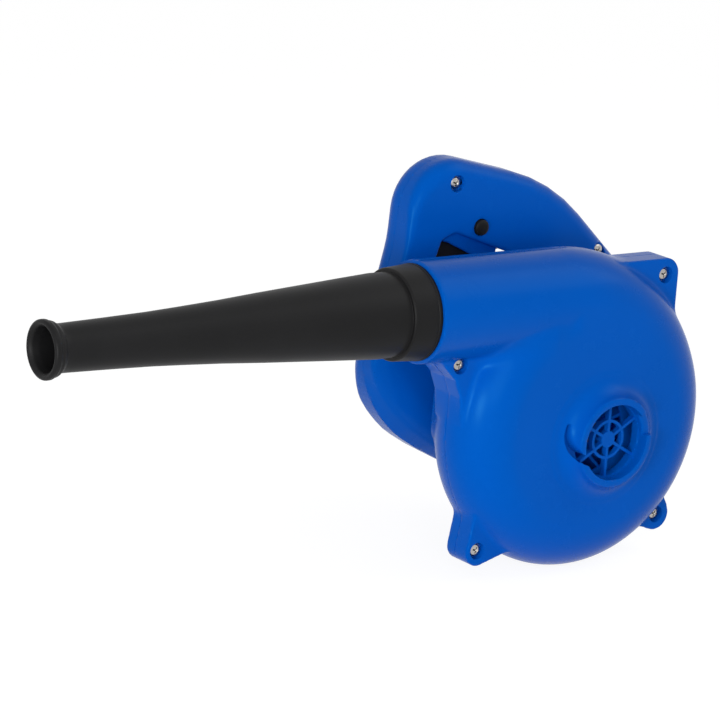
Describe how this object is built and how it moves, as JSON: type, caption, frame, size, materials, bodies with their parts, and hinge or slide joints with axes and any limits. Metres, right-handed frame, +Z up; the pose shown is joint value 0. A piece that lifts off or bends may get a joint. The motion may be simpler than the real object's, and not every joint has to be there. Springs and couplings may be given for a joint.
{
  "type": "handheld air blower",
  "caption": "Handheld electric centrifugal blower: round fan case with side inlet, long tapered nozzle, loop handle with trigger and lock button.",
  "frame": {"origin": "centre of the inlet rim, on the fan axis", "axes": "+Y along the fan axis from the inlet to the motor, -X the way the air leaves the nozzle, +Z up"},
  "size_m": [0.4566, 0.178, 0.2368],
  "materials": {
    "blue_housing": "gloss",
    "black_plastic": "satin",
    "black_rubber": "matte",
    "bright_steel": "bright",
    "black_steel": "satin",
    "spring_steel": "satin",
    "laminated_steel": "satin",
    "copper_wire": "satin",
    "copper_bar": "satin",
    "brass_sheet": "satin",
    "carbon": "matte"
  },
  "bodies": {
    "housing": {"front_cover": "blue_housing", "main_housing": "blue_housing", "rear_housing": "blue_housing", "case_screws": "bright_steel", "handle_screws": "bright_steel", "trigger_spring": "spring_steel", "switch_body": "black_plastic", "cord_bush": "black_rubber", "front_bearing_outer_ring": "bright_steel", "front_bearing_balls": "bright_steel", "rear_bearing_outer_ring": "bright_steel", "rear_bearing_balls": "bright_steel", "bearing_seat": "black_rubber", "stator_core": "laminated_steel", "field_coils": "copper_wire", "stator_screws": "bright_steel", "air_baffle": "black_plastic", "brush_holders": "brass_sheet", "carbon_brushes": "carbon", "brush_springs": "spring_steel", "brush_caps": "black_plastic"},
    "rotor": {"impeller": "blue_housing", "impeller_nut": "black_steel", "impeller_washer": "black_steel", "impeller_spacer": "bright_steel", "armature_shaft": "bright_steel", "armature_core": "laminated_steel", "armature_windings": "copper_wire", "commutator": "copper_bar", "motor_fan": "black_plastic", "front_bearing_inner_ring": "bright_steel", "rear_bearing_inner_ring": "bright_steel"},
    "trigger": {"trigger": "black_plastic"},
    "lock_button": {"lock_button": "black_plastic"},
    "nozzle": {"nozzle": "black_plastic"}
  },
  "joints": [
    {"name": "rotor_spin", "type": "hinge", "parent": "housing", "child": "rotor", "pos_m": [0, 0.1, 0], "axis": [0, 1, 0], "continuous": true},
    {"name": "trigger_squeeze", "type": "slide", "parent": "housing", "child": "trigger", "axis": [0, 0, 1], "range_m": [0, 0.005], "stiffness_N_per_m": 800, "springref_m": -0.002, "deforming": ["trigger_spring"]},
    {"name": "lock_press", "type": "slide", "parent": "housing", "child": "lock_button", "axis": [0, 1, 0], "range_m": [0, 0.0025], "stiffness_N_per_m": 600, "springref_m": -0.001},
    {"name": "nozzle_pull", "type": "slide", "parent": "housing", "child": "nozzle", "axis": [-1, 0, 0], "range_m": [0, 0.03]}
  ]
}
